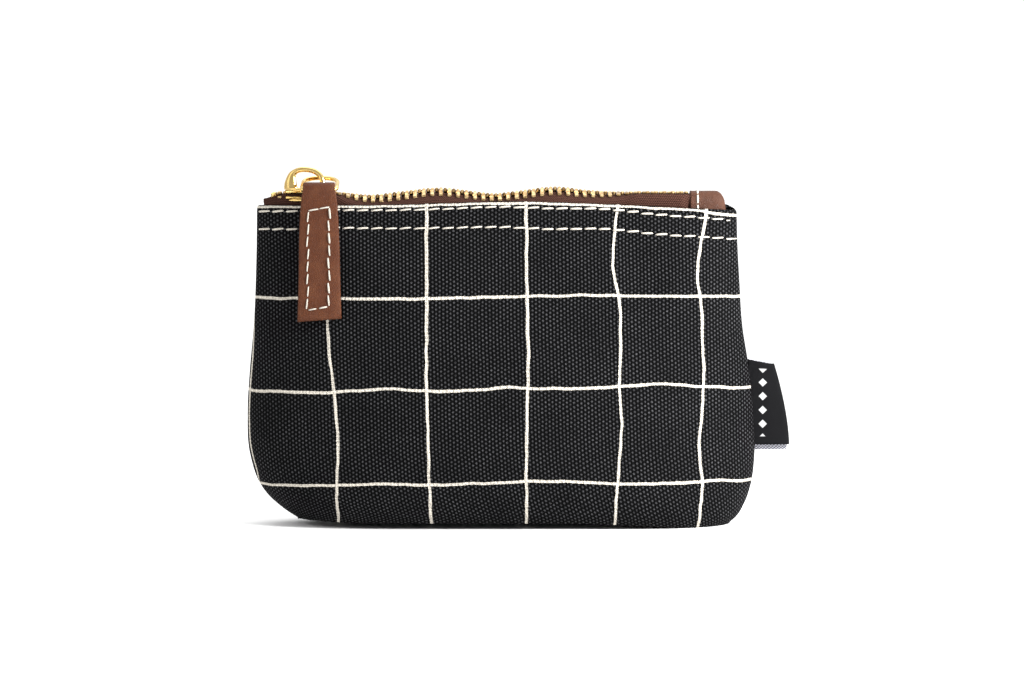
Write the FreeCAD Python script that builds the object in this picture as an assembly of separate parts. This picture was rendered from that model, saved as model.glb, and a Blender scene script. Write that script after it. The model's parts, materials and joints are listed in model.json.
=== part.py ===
"""A small canvas pouch with a boxed bottom, a metal zip along its mouth and a leather pull.

Units are millimetres. +X runs along the mouth to the closed end of the zip, +Y is to the back, +Z is up.
The origin is the middle of the base, on the surface that the pouch stands on.
Every piece is written to parts/NODE.step.
"""

import math
import os

import FreeCAD
import Part

V = FreeCAD.Vector
X_AXIS = V(1, 0, 0)
Y_AXIS = V(0, 1, 0)
Z_AXIS = V(0, 0, 1)

# ---------------------------------------------------------------- driving dimensions
BASE_HALF_WIDTH = 61.0
BASE_HALF_DEPTH = 16.5
BELLY_HALF_WIDTH = 76.3
BELLY_HALF_DEPTH = 19.4
MOUTH_HALF_WIDTH = 73.2
MOUTH_HALF_DEPTH = 7.0
MOUTH_HEIGHT = 96.5

CANVAS = 0.9
LINING = 0.5
LINING_OFFSET = 1.8
THREAD_RADIUS = 0.28
TOPSTITCH_LENGTH = 3.4
TOPSTITCH_PITCH = 4.25
SEAM_THREAD_RADIUS = 0.2
SEAM_STITCH_LENGTH = 2.2
SEAM_STITCH_PITCH = 3.0
SEAM_BEHIND = 0.6
SEAM_LOW = 24.0
SEAM_HIGH = 90.0
UPPER_ROW_DROP = 1.6
LOWER_ROW_DROP = 7.2
CORNER_SEAM_HEIGHT = 7.0
CORNER_SEAM_REACH = 13.5

CHAIN_HEIGHT = 99.4
TOOTH_PITCH = 2.54
TOOTH_THICKNESS = 1.14
TOOTH_HEIGHT = 1.8
TOOTH_OUTER = 3.0
TOOTH_TIP = 0.9
TAPE = 0.5
TAPE_EDGE = 1.45
TAPE_SIDE = 5.65
TAPE_BOTTOM = 92.0
TAPE_HEM = 50.0
TAPE_FLARE = 0.75
TAPE_LEFT = -70.0
TAPE_END_LENGTH = 2.8
TAPE_END_SIDE = 3.4
CORD_RADIUS = 0.34
CORD_FIT = CORD_RADIUS + 0.04
CLAMP_GAP = 0.3
STOP_HALF_HEIGHT = 0.85

SLIDER_X = -58.8
SLIDER_LEFT = 6.6
SLIDER_RIGHT = 6.0
SLIDER_WIDE = 4.8
SLIDER_NARROW = 4.0
PLATE = 1.0
PLATE_GAP = 0.15
SLIDER_RIM = 0.65
SLIDER_SLOT = 0.45
WEDGE_HALF_WIDTH = 1.0
WEDGE_TIP = 0.35

ARCH_WIDTH = 2.6
ARCH_TOP = 107.7
ARCH_STRIP = 1.2

RING_WIRE = 0.65
RING_WIDTH = 10.3
RING_OFFSET = 4.2
RING_REAR_RADIUS = 3.6
RING_BAR_RADIUS = 0.95
RING_REAR_Y = 2.2
RING_REAR_Z = 104.2
RING_BAR_Y = -8.4
RING_BAR_Z = 101.2

LEATHER = 1.3
PULL_TOP_WIDTH = 8.1
PULL_BOTTOM_WIDTH = 13.1
PULL_LENGTH = 39.4
PULL_LEAN = 0.152
PULL_PLAY = 0.06
PULL_STITCH_SIDE = 3.3
PULL_STITCH_TOP = 8.2
PULL_STITCH_MARGIN = 3.6
PULL_STITCH_LENGTH = 2.9
PULL_STITCH_PITCH = 3.6

TAB_LEFT = 57.0
TAB_RIGHT = 67.6
TAB_LEATHER = 1.2
TAB_HALF_DEPTH = 5.95
TAB_BOTTOM = 92.0
TAB_CEILING = CHAIN_HEIGHT + TOOTH_HEIGHT / 2 + 0.1
TAB_ROUNDING = 2.2
TAB_END_ROUNDING = 1.2
TAB_STITCH_X = TAB_LEFT + 2.1

LABEL_BOTTOM = 24.4
LABEL_TOP = 49.8
LABEL_ROOT = 75.45
LABEL_REACH = 86.0
LABEL_SLANT = 4.2
LABEL_THICKNESS = 1.5
LABEL_RIBBON = 0.35
LABEL_PLAY = 0.04

# Height, half width, half depth and squareness of the body's level sections, from the base up.
SECTIONS = [
    (0.0, BASE_HALF_WIDTH, BASE_HALF_DEPTH, 5.0),
    (5.0, 69.5, 18.6, 4.2),
    (14.0, 75.0, BELLY_HALF_DEPTH, 3.4),
    (28.0, BELLY_HALF_WIDTH, 19.0, 3.0),
    (52.0, 75.6, 15.8, 3.0),
    (76.0, 74.4, 10.9, 3.6),
    (87.5, 73.7, 8.6, 5.0),
    (MOUTH_HEIGHT, MOUTH_HALF_WIDTH, MOUTH_HALF_DEPTH, 9.0),
    (MOUTH_HEIGHT + 8.0, MOUTH_HALF_WIDTH - 0.3, MOUTH_HALF_DEPTH, 9.0),
]
SECTION_POINTS = 60
OUTLINE_STEP = 0.5


# ---------------------------------------------------------------- helpers
def save(node, shape):
    """Writes one node. Several loose solids go out as one compound."""
    shape.exportStep(f"parts/{node}.step")


def box(x0, x1, y0, y1, z0, z1):
    return Part.makeBox(x1 - x0, y1 - y0, z1 - z0, V(x0, y0, z0))


def rod(start, end, radius):
    """A round bar with flat ends from one point to another."""
    along = end - start
    return Part.makeCylinder(radius, along.Length, start, along)


def prism(points, direction):
    """A closed outline, pushed along a direction."""
    return Part.Face(Part.makePolygon(points + points[:1])).extrude(direction)


def level_section(height, half_width, half_depth, squareness):
    """A closed smooth outline between an ellipse and a rectangle, joined up at the middle of the back."""
    points = []
    for i in range(SECTION_POINTS):
        turn = math.pi / 2 + 2 * math.pi * i / SECTION_POINTS
        c, s = math.cos(turn), math.sin(turn)
        reach = (abs(c) ** squareness + abs(s) ** squareness) ** (-1 / squareness)
        points.append(V(half_width * c * reach, half_depth * s * reach, height))
    curve = Part.BSplineCurve()
    curve.interpolate(Points=points, PeriodicFlag=True)
    return Part.Wire([curve.toShape()])


def body_solid(inset):
    """The filled body, taken in by inset all round and underneath, and carried above the mouth."""
    wires = []
    for height, half_width, half_depth, squareness in SECTIONS:
        z = max(height, inset)
        wires.append(level_section(z, half_width - inset, half_depth - inset, squareness))
    return Part.makeLoft(wires, True, False)


def body_shell(outer_inset, inner_inset):
    """The open-topped skin between two insets, ending at the mouth."""
    skin = body_solid(outer_inset).cut(body_solid(inner_inset))
    return skin.common(box(-100, 100, -60, 60, -5, MOUTH_HEIGHT))


def front_half():
    return box(-100, 100, -60, 0, -5, 130)


def mirrored(shape):
    """The same piece on the other side of the zip."""
    return shape.mirror(V(0, 0, 0), Y_AXIS)


def outline_at(solid, height):
    """Points round the solid's outline at a height, evenly spaced."""
    wire = Part.Wire(Part.sortEdges(solid.slice(Z_AXIS, height)[0].Edges)[0])
    return wire.discretize(Distance=OUTLINE_STEP)


# ---------------------------------------------------------------- fabric
def panels():
    """Two canvas skins that meet in the middle, with a slot in the side seam for the label."""
    shell = body_shell(0.0, CANVAS)
    slot = label_outline(-LABEL_PLAY, LABEL_PLAY)
    save("front_panel", shell.common(front_half()).cut(slot))
    save("back_panel", shell.cut(front_half()).cut(slot))


def linings():
    """The lining stops short of the mouth's right end, where the leather tab goes down."""
    shell = body_shell(LINING_OFFSET, LINING_OFFSET + LINING)
    shell = shell.cut(box(TAB_LEFT - 0.5, 90, -20, 20, TAB_BOTTOM - 0.5, 110))
    save("front_lining", shell.common(front_half()))
    save("back_lining", shell.cut(front_half()))


def topstitch(solid, height, front):
    """A row of stitches along the outside of one panel, sunk a little into the canvas."""
    side = -1 if front else 1
    outline = [p for p in outline_at(solid, height) if p.y * side > 0.8]
    outline.sort(key=lambda p: p.x)
    lift = V(0, side * 0.5 * THREAD_RADIUS, 0)
    stitches = []
    travelled = 0.0
    previous = outline[0]
    open_stitch = None
    for point in outline:
        travelled += (point - previous).Length
        previous = point
        phase = travelled % TOPSTITCH_PITCH
        if phase < TOPSTITCH_LENGTH and open_stitch is None:
            open_stitch = point
        elif phase >= TOPSTITCH_LENGTH and open_stitch is not None:
            if (point - open_stitch).Length > 0.7 * TOPSTITCH_LENGTH:
                stitches.append(rod(open_stitch + lift, point + lift, THREAD_RADIUS))
            open_stitch = None
    return Part.makeCompound(stitches)


def topstitches():
    solid = body_solid(0.0)
    for name, front in (("front", True), ("back", False)):
        save(f"{name}_upper_topstitch", topstitch(solid, MOUTH_HEIGHT - UPPER_ROW_DROP, front))
        save(f"{name}_lower_topstitch", topstitch(solid, MOUTH_HEIGHT - LOWER_ROW_DROP, front))


def stitches_along(points):
    """Seam stitches set out along a line of points OUTLINE_STEP apart."""
    skip = round(SEAM_STITCH_PITCH / OUTLINE_STEP)
    stitches = []
    for i in range(0, len(points) - skip, skip):
        along = (points[i + 1] - points[i]).normalize()
        stitches.append(rod(points[i], points[i] + along * SEAM_STITCH_LENGTH, SEAM_THREAD_RADIUS))
    return Part.makeCompound(stitches)


def seam_threads():
    """The closing seams' thread, hidden between the canvas and the lining, just behind the middle."""
    between = 0.5 * (CANVAS + LINING_OFFSET)
    middle = body_solid(between)
    cut = middle.slice(Y_AXIS, SEAM_BEHIND)[0]
    upright = Part.Wire(Part.sortEdges(cut.Edges)[0]).discretize(Distance=OUTLINE_STEP)
    level = outline_at(middle, CORNER_SEAM_HEIGHT)
    for name, side in (("left", -1), ("right", 1)):
        run = [p for p in upright if p.x * side > 0 and SEAM_LOW < p.z < SEAM_HIGH]
        save(f"{name}_seam_thread", stitches_along(sorted(run, key=lambda p: p.z)))
        run = [p for p in level if p.x * side > 0 and abs(p.y) < CORNER_SEAM_REACH]
        save(f"{name}_corner_thread", stitches_along(sorted(run, key=lambda p: p.y)))
    reach = BASE_HALF_WIDTH - SEAM_STITCH_PITCH
    steps = int(2 * reach / OUTLINE_STEP)
    run = [V(-reach + OUTLINE_STEP * i, SEAM_BEHIND, between) for i in range(steps)]
    save("bottom_seam_thread", stitches_along(run))


def label_outline(taken_in, extra):
    """The folded ribbon as one block, or the space between its leaves when it is taken in."""
    half = LABEL_THICKNESS / 2 - taken_in
    outline = [
        V(LABEL_ROOT - extra, -half, LABEL_BOTTOM - extra),
        V(LABEL_REACH - taken_in, -half, LABEL_BOTTOM + 1.2 - extra),
        V(LABEL_REACH - LABEL_SLANT - taken_in, -half, LABEL_TOP - 1.0 + extra),
        V(LABEL_ROOT - extra, -half, LABEL_TOP + extra),
    ]
    return prism(outline, V(0, 2 * half, 0))


def side_label():
    """A folded ribbon held in the right side seam."""
    save("side_label", label_outline(0.0, 0.0).cut(label_outline(LABEL_RIBBON, 1.0)))


# ---------------------------------------------------------------- zip
def tape():
    """The front tape: flat beside the teeth, then over the edge and down between canvas and lining."""
    top = CHAIN_HEIGHT + TAPE / 2
    bottom = CHAIN_HEIGHT - TAPE / 2
    outer = TAPE_SIDE + TAPE / 2
    inner = TAPE_SIDE - TAPE / 2
    profile = [
        V(TAPE_LEFT, -TAPE_EDGE, top),
        V(TAPE_LEFT, -TAPE_EDGE, bottom),
        V(TAPE_LEFT, -inner, bottom),
        V(TAPE_LEFT, -inner, MOUTH_HEIGHT),
        V(TAPE_LEFT, -outer, MOUTH_HEIGHT),
        V(TAPE_LEFT, -outer, top),
    ]
    visible = prism(profile, V(TAB_LEFT - 0.2 - TAPE_LEFT, 0, 0))
    flat_end = box(TAB_LEFT - 1, TAB_LEFT + TAPE_END_LENGTH, -TAPE_END_SIDE, -TAPE_EDGE, bottom, top)
    hem = [
        V(-TAPE_HEM, -inner, MOUTH_HEIGHT + 0.5),
        V(-TAPE_HEM, -inner, MOUTH_HEIGHT),
        V(-TAPE_HEM, -inner - TAPE_FLARE, TAPE_BOTTOM),
        V(-TAPE_HEM, -outer - TAPE_FLARE, TAPE_BOTTOM),
        V(-TAPE_HEM, -outer, MOUTH_HEIGHT),
        V(-TAPE_HEM, -outer, MOUTH_HEIGHT + 0.5),
    ]
    hidden = prism(hem, V(2 * TAPE_HEM, 0, 0))
    bead = rod(V(-90, -TAPE_EDGE, CHAIN_HEIGHT), V(90, -TAPE_EDGE, CHAIN_HEIGHT), CORD_RADIUS)
    return visible.fuse([flat_end, hidden]).cut(bead).removeSplitter()


def tape_cord():
    """The bead woven into the tape's edge, which the teeth are clamped round."""
    start = V(TAPE_LEFT, -TAPE_EDGE, CHAIN_HEIGHT)
    return rod(start, V(TAB_LEFT + TAPE_END_LENGTH, -TAPE_EDGE, CHAIN_HEIGHT), CORD_RADIUS)


def clamp_space(x, half, outer):
    """What a tooth or stop leaves free for the tape and the bead on its edge."""
    slot = box(x - half, x + half, -outer, -TAPE_EDGE, CHAIN_HEIGHT - CLAMP_GAP, CHAIN_HEIGHT + CLAMP_GAP)
    start = V(x - half, -TAPE_EDGE, CHAIN_HEIGHT)
    return slot.fuse(rod(start, V(x + half, -TAPE_EDGE, CHAIN_HEIGHT), CORD_FIT))


def tooth(x):
    """One front tooth: two legs round the tape's edge, and a rounded head that meshes past the middle."""
    half = TOOTH_THICKNESS / 2
    low = CHAIN_HEIGHT - TOOTH_HEIGHT / 2
    high = CHAIN_HEIGHT + TOOTH_HEIGHT / 2
    rounded_from = TOOTH_TIP - TOOTH_HEIGHT / 2
    shank = box(x - half, x + half, -TOOTH_OUTER, rounded_from, low, high)
    start = V(x - half, rounded_from, CHAIN_HEIGHT)
    head = Part.makeCylinder(TOOTH_HEIGHT / 2, TOOTH_THICKNESS, start, X_AXIS)
    head = head.common(box(x - half, x + half, rounded_from, TOOTH_TIP, low, high))
    return shank.fuse(head).removeSplitter().cut(clamp_space(x, half, TOOTH_OUTER))


def tooth_rows():
    """Both rows, half a pitch apart. The slider's wedge keeps the teeth out of its left half."""
    first = SLIDER_X - 0.2
    count = int((TAB_LEFT - 1.0 - first) / TOOTH_PITCH)
    parted = SLIDER_X - SLIDER_LEFT - 1.4
    places = [first + i * TOOTH_PITCH for i in range(count)]
    save("front_teeth", Part.makeCompound([tooth(x) for x in [parted, *places]]))
    back = [parted - TOOTH_PITCH / 2, *[x + TOOTH_PITCH / 2 for x in places]]
    save("back_teeth", Part.makeCompound([mirrored(tooth(x)) for x in back]))


def top_stop():
    """A small clamp round the tape's edge past the last tooth."""
    x = SLIDER_X - SLIDER_LEFT - 4.2
    low, high = CHAIN_HEIGHT - STOP_HALF_HEIGHT, CHAIN_HEIGHT + STOP_HALF_HEIGHT
    body = box(x - 0.9, x + 0.9, -TOOTH_OUTER - 0.2, -0.3, low, high)
    body = body.makeFillet(0.3, [e for e in body.Edges if abs(e.tangentAt(e.FirstParameter).x) > 0.9])
    return body.cut(clamp_space(x, 2, TOOTH_OUTER + 1))


def bottom_stop():
    """The staple across both tapes at the closed end, under the leather tab."""
    x = TAB_LEFT + 1.0
    low, high = CHAIN_HEIGHT - STOP_HALF_HEIGHT, CHAIN_HEIGHT + STOP_HALF_HEIGHT
    body = box(x - 0.7, x + 0.7, -2.4, 2.4, low, high)
    space = clamp_space(x, 1, 4)
    save("bottom_stop", body.cut(space).cut(mirrored(space)))


def zip_sides():
    pieces = {"tape": tape(), "tape_cord": tape_cord(), "top_stop": top_stop()}
    for name, piece in pieces.items():
        save(f"front_{name}", piece)
        save(f"back_{name}", mirrored(piece))
    tooth_rows()
    bottom_stop()


def slider_plate(z0):
    """One plate of the slider: wide where the rows part, narrow where they come out closed."""
    left, right = SLIDER_X - SLIDER_LEFT, SLIDER_X + SLIDER_RIGHT
    half_outline = [
        V(left + 1.4, -SLIDER_WIDE + 1.6, z0),
        V(left + 2.6, -SLIDER_WIDE, z0),
        V(SLIDER_X - 0.8, -SLIDER_WIDE, z0),
        V(SLIDER_X + 2.0, -SLIDER_NARROW, z0),
        V(right, -SLIDER_NARROW, z0),
    ]
    other = [V(p.x, -p.y, z0) for p in reversed(half_outline)]
    nose = [V(left, 1.3, z0), V(left, -1.3, z0)]
    plate = prism(half_outline + other + nose, V(0, 0, PLATE))
    upright = [e for e in plate.Edges if abs(e.tangentAt(e.FirstParameter).z) > 0.9]
    return plate.makeFillet(0.5, upright)


def slider_body():
    """Two plates joined by a wedge, with rims that guide the rows and leave a slot for each tape."""
    reach = TOOTH_HEIGHT / 2 + PLATE_GAP
    lower = reach - SLIDER_SLOT
    top = slider_plate(CHAIN_HEIGHT + reach)
    bottom = slider_plate(CHAIN_HEIGHT - reach - PLATE)
    rim_zone = top.translated(V(0, 0, -lower)).fuse(bottom.translated(V(0, 0, lower)))
    wide, narrow = SLIDER_WIDE - SLIDER_RIM, SLIDER_NARROW - SLIDER_RIM
    inner = prism(
        [
            V(SLIDER_X - 9, -wide, 0),
            V(SLIDER_X - 1.0, -wide, 0),
            V(SLIDER_X + 1.8, -narrow, 0),
            V(SLIDER_X + 9, -narrow, 0),
            V(SLIDER_X + 9, narrow, 0),
            V(SLIDER_X + 1.8, narrow, 0),
            V(SLIDER_X - 1.0, wide, 0),
            V(SLIDER_X - 9, wide, 0),
        ],
        V(0, 0, 200),
    )
    left, tip = SLIDER_X - SLIDER_LEFT + 0.2, SLIDER_X - 1.3
    foot = CHAIN_HEIGHT - reach - 0.3
    wedge = prism(
        [
            V(left, WEDGE_HALF_WIDTH, foot),
            V(left, -WEDGE_HALF_WIDTH, foot),
            V(tip, -WEDGE_TIP, foot),
            V(tip, WEDGE_TIP, foot),
        ],
        V(0, 0, 2 * reach + 0.6),
    )
    body = top.fuse([bottom, rim_zone.cut(inner), wedge]).removeSplitter()
    save("slider_body", body)


def arch_outline(left, right, foot, top):
    """An arch from one foot to the other: upright legs, then a rounded crown."""
    middle, half = (left + right) / 2, (right - left) / 2
    spring = foot + 0.35 * (top - foot)
    shoulder = spring + 0.86 * (top - spring)
    curve = Part.BSplineCurve()
    curve.interpolate(
        Points=[
            V(left, 0, spring),
            V(left + 0.28 * half, 0, shoulder),
            V(middle, 0, top),
            V(right - 0.28 * half, 0, shoulder),
            V(right, 0, spring),
        ]
    )
    return [
        curve.toShape(),
        Part.makeLine(V(right, 0, spring), V(right, 0, foot)),
        Part.makeLine(V(right, 0, foot), V(left, 0, foot)),
        Part.makeLine(V(left, 0, foot), V(left, 0, spring)),
    ]


def slider_arch():
    """The strap over the slider that the ring is threaded through."""
    foot = CHAIN_HEIGHT + TOOTH_HEIGHT / 2 + PLATE_GAP + PLATE
    left, right = SLIDER_X - 6.3, SLIDER_X + 5.9
    outer = Part.Face(Part.Wire(arch_outline(left, right, foot, ARCH_TOP)))
    opening = arch_outline(left + ARCH_STRIP, right - ARCH_STRIP, foot - 1, ARCH_TOP - ARCH_STRIP)
    arch = outer.cut(Part.Face(Part.Wire(opening))).extrude(V(0, ARCH_WIDTH, 0))
    save("slider_arch", arch.translated(V(0, -ARCH_WIDTH / 2, 0)))


# ---------------------------------------------------------------- pull
RING_SPAN = math.hypot(RING_REAR_Y - RING_BAR_Y, RING_REAR_Z - RING_BAR_Z)


def ring_point(x, along):
    """A point of the ring's plane: x from its middle, and the distance from the rear wire to the bar."""
    share = along / RING_SPAN
    y = RING_REAR_Y + (RING_BAR_Y - RING_REAR_Y) * share
    z = RING_REAR_Z + (RING_BAR_Z - RING_REAR_Z) * share
    return V(SLIDER_X + RING_OFFSET + x, y, z)


def ring_corner(side, rear):
    """One rounded corner of the ring as three points: on its side, halfway round and on its end."""
    radius = RING_REAR_RADIUS if rear else RING_BAR_RADIUS
    end, inward = (0, 1) if rear else (RING_SPAN, -1)
    cut = radius * (1 - math.sqrt(0.5))
    edge = RING_WIDTH / 2
    return [
        ring_point(side * edge, end + inward * radius),
        ring_point(side * (edge - cut), end + inward * cut),
        ring_point(side * (edge - radius), end),
    ]


def pull_ring():
    """A round-wire D ring: a rounded rear end under the arch and a straight bar in the leather."""
    corners = [
        ring_corner(1, True)[::-1],
        ring_corner(1, False),
        ring_corner(-1, False)[::-1],
        ring_corner(-1, True),
    ]
    edges = []
    for i, corner in enumerate(corners):
        edges.append(Part.Arc(*corner).toShape())
        edges.append(Part.makeLine(corner[2], corners[(i + 1) % 4][0]))
    path = Part.Wire([edges[-1], *edges[:-1]])
    circle = Part.Wire([Part.Circle(ring_point(0, 0), X_AXIS, RING_WIRE).toShape()])
    save("pull_ring", path.makePipeShell([circle], True, True))


def pull_frame():
    """The bar's middle, the strap's downward direction and its outward direction."""
    bar = V(SLIDER_X + RING_OFFSET, RING_BAR_Y, RING_BAR_Z)
    down = V(0, -PULL_LEAN, -1).normalize()
    out = V(0, -1, PULL_LEAN).normalize()
    return bar, down, out


def pull_strap():
    """A leather strip folded over the ring's bar, its two leaves lying together below."""
    bar, down, out = pull_frame()
    wide = X_AXIS * (PULL_BOTTOM_WIDTH / 2)
    thick = out * LEATHER
    end = bar + down * PULL_LENGTH
    slab = prism([p - wide for p in (bar - thick, bar + thick, end + thick, end - thick)], wide * 2)
    eye = RING_WIRE + PULL_PLAY
    loop = Part.makeCylinder(eye + LEATHER, PULL_BOTTOM_WIDTH, bar - wide, X_AXIS)
    strap = slab.fuse(loop).cut(Part.makeCylinder(eye, 40, bar - X_AXIS * 20, X_AXIS))
    top, bottom = PULL_TOP_WIDTH / 2, PULL_BOTTOM_WIDTH / 2
    half_outline = [
        (top, -5),
        (top, 1.5),
        (bottom - 0.9, PULL_LENGTH * 0.25),
        (bottom, PULL_LENGTH + 1),
    ]
    outline = [bar + X_AXIS * x + down * s for x, s in half_outline]
    outline += [bar - X_AXIS * x + down * s for x, s in reversed(half_outline)]
    flat = [V(p.x, -20 + bar.y, p.z) for p in outline]
    save("pull_strap", strap.common(prism(flat, Y_AXIS * 40)))


def pull_stitching():
    """A stitched oblong through both leaves, showing on the front and the back."""
    bar, down, out = pull_frame()
    top, side_x = PULL_STITCH_TOP, PULL_STITCH_SIDE
    count = int((PULL_LENGTH - PULL_STITCH_MARGIN - top) / PULL_STITCH_PITCH)
    stitches = []
    for face in (-1, 1):
        base = bar + out * (face * (LEATHER + 0.5 * THREAD_RADIUS))
        for side in (-1, 1):
            for i in range(count):
                start = base + X_AXIS * (side * side_x) + down * (top + 0.35 + i * PULL_STITCH_PITCH)
                stitches.append(rod(start, start + down * PULL_STITCH_LENGTH, THREAD_RADIUS))
        for level in (top, top + count * PULL_STITCH_PITCH):
            for i in (-1, 0):
                start = base + X_AXIS * (i * side_x + 0.25) + down * level
                stitches.append(rod(start, start + X_AXIS * (side_x - 0.5), THREAD_RADIUS))
    save("pull_stitching", Part.makeCompound(stitches))


# ---------------------------------------------------------------- zip end
def end_tab():
    """Leather folded over the zip's closed end, its edges going down inside the mouth."""
    top = TAB_CEILING + TAB_LEATHER
    outer = box(TAB_LEFT, TAB_RIGHT, -TAB_HALF_DEPTH, TAB_HALF_DEPTH, TAB_BOTTOM, top)
    upper = [e for e in outer.Edges if e.CenterOfMass.z > top - 0.1]
    outer = outer.makeFillet(TAB_ROUNDING, [e for e in upper if abs(e.tangentAt(e.FirstParameter).x) > 0.9])
    upper = [e for e in outer.Edges if e.CenterOfMass.z > top - 1]
    outer = outer.makeFillet(TAB_END_ROUNDING, [e for e in upper if e.CenterOfMass.x > TAB_RIGHT - 0.01])
    inner_side = TAB_HALF_DEPTH - TAB_LEATHER
    inner_end = TAB_RIGHT - TAB_LEATHER
    hollow = box(TAB_LEFT - 1, inner_end, -inner_side, inner_side, TAB_BOTTOM - 1, TAB_CEILING)
    save("end_tab", outer.cut(hollow).common(body_solid(CANVAS + 0.05)))


def end_tab_stitch():
    """One line of thread over the tab, just in from its cut edge."""
    x = TAB_STITCH_X
    sunk = 0.5 * THREAD_RADIUS
    top = TAB_CEILING + TAB_LEATHER + sunk
    stitches = [rod(V(x, y, top), V(x, y + 2.3, top), THREAD_RADIUS) for y in (-2.6, 0.3)]
    for side in (-1, 1):
        y = side * (TAB_HALF_DEPTH + sunk)
        stitches.append(rod(V(x, y, MOUTH_HEIGHT + 0.3), V(x, y, MOUTH_HEIGHT + 2.4), THREAD_RADIUS))
    save("end_tab_stitch", Part.makeCompound(stitches))


os.makedirs("parts", exist_ok=True)
panels()
linings()
topstitches()
seam_threads()
side_label()
zip_sides()
slider_body()
slider_arch()
pull_ring()
pull_strap()
pull_stitching()
end_tab()
end_tab_stitch()
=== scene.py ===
"""Looks for the zippered canvas pouch. Lengths are in millimetres until they reach Blender.

+X runs along the mouth to the leather end tab, -Y is the front and +Z is up.
"""

import itertools
import json
import math

import bpy
import numpy as np
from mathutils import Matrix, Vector

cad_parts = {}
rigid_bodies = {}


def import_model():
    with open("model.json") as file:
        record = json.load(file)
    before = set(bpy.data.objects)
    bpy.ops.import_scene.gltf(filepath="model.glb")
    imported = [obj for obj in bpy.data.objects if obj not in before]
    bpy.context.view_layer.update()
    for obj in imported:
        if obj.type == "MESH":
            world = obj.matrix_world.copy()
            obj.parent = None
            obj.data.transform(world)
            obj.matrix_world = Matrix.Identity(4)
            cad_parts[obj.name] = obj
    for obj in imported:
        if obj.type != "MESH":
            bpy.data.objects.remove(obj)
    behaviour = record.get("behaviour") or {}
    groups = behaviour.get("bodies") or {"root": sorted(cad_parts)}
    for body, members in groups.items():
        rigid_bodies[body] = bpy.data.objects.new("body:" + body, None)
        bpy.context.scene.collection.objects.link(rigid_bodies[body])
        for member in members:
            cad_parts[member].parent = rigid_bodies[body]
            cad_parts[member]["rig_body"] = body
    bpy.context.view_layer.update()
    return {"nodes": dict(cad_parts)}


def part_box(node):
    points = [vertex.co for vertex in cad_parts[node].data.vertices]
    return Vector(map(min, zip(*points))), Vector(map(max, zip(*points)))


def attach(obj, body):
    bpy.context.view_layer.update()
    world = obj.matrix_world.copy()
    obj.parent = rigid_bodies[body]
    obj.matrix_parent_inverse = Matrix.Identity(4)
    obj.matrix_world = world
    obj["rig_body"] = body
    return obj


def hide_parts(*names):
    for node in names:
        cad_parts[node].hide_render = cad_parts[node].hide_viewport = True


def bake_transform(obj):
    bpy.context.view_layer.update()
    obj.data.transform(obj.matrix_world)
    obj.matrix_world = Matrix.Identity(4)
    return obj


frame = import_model()

MM = 0.001
FACE = {-1: "front", 1: "back"}

# ---------------- the pouch's own sizes
# Each list is (height, value): how far the outline reaches left and right, half its depth, and
# how square it is seen from above.
LEFT_EDGE = [
    (0, 62), (2, 65), (5.5, 68.8), (12, 73.3), (21, 76.3), (34, 77), (46, 76.3), (60, 75), (80, 74.1),
    (97, 73.8),
]
RIGHT_EDGE = [
    (0, 68.5), (2, 70.8), (6, 73.2), (12, 75.2), (20, 76.2), (32, 76), (46, 74.6), (60, 72.4), (75, 71.4),
    (88, 70.7), (97, 70.5),
]
DEPTH = [
    (0, 15.8), (2, 17.3), (6, 18.7), (14, 19.3), (28, 18.9), (48, 16.4), (70, 12.3), (84, 9.3), (97, 6.7),
]
SQUARENESS = [(0, 5.0), (6, 4.2), (14, 3.5), (30, 3.0), (55, 3.1), (75, 3.6), (87, 5.0), (97, 8.0)]
SIDE_ROUNDNESS = 1.75
TOP = 96.3
# By distance across: how far the mouth's front edge falls, and how far the base's edge rises.
FRONT_DROP = [(-75, 0), (-30, -0.3), (5, -1.2), (32, -0.4), (52, 0.6), (72, 1.6)]
SOLE = [(-76, 1.9), (-40, 1.8), (0, 1.8), (28, 1.6), (45, 0.8), (62, 0.15), (76, 0.1)]
FOLD_RADIUS = 0.95
HEM_BOTTOM = 85.0
LINING_INSET = 2.35
LINING_TOP = 93.5
LINING_BOTTOM = 2.0
# Below this height the wall turns in under the base.
TURN_IN = 8.0

GRID_CELL = 28.1
WEAVE_ACROSS = 1.06
WEAVE_DOWN = 0.64
# How far below the mouth's edge each row of stitches runs: (across, distance).
TOPSTITCH_ROWS = {
    "upper": [(-75, 1.9), (0, 2.0), (35, 2.2), (55, 3.0), (74, 3.6)],
    "lower": [(-75, 7.2), (-30, 7.5), (8, 8.2), (35, 8.1), (55, 8.8), (74, 9.0)],
}
TOPSTITCH_PITCH = 4.25
TOPSTITCH_ENDS = (-73.3, 71.0)
STITCH_RADIUS = 0.28

SEAM_PITCH = 3.0
SEAM_STITCH = 2.2
SEAM_RADIUS = 0.2
SEAM_BEHIND = 0.55
SIDE_SEAM = (24, 88)
CORNER_SEAM = (-12, 11)
CORNER_SEAM_HEIGHT = 7.0
BASE_SEAM = (-56, 56)
BASE_SEAM_HEIGHT = 1.3

CHAIN_HEIGHT = 99.4
TOOTH_PITCH = 2.54
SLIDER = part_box("slider_body")
SLIDER_X = 0.5 * (SLIDER[0].x + SLIDER[1].x) / MM
LAST_TOOTH = 55.4
OPEN_STOP = 50.0
TAPE_ENDS = (-71.5, 59.5)
TAPE_EDGE = 1.45
TAPE_THICKNESS = 0.5
BEAD_RADIUS = 0.36
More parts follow.
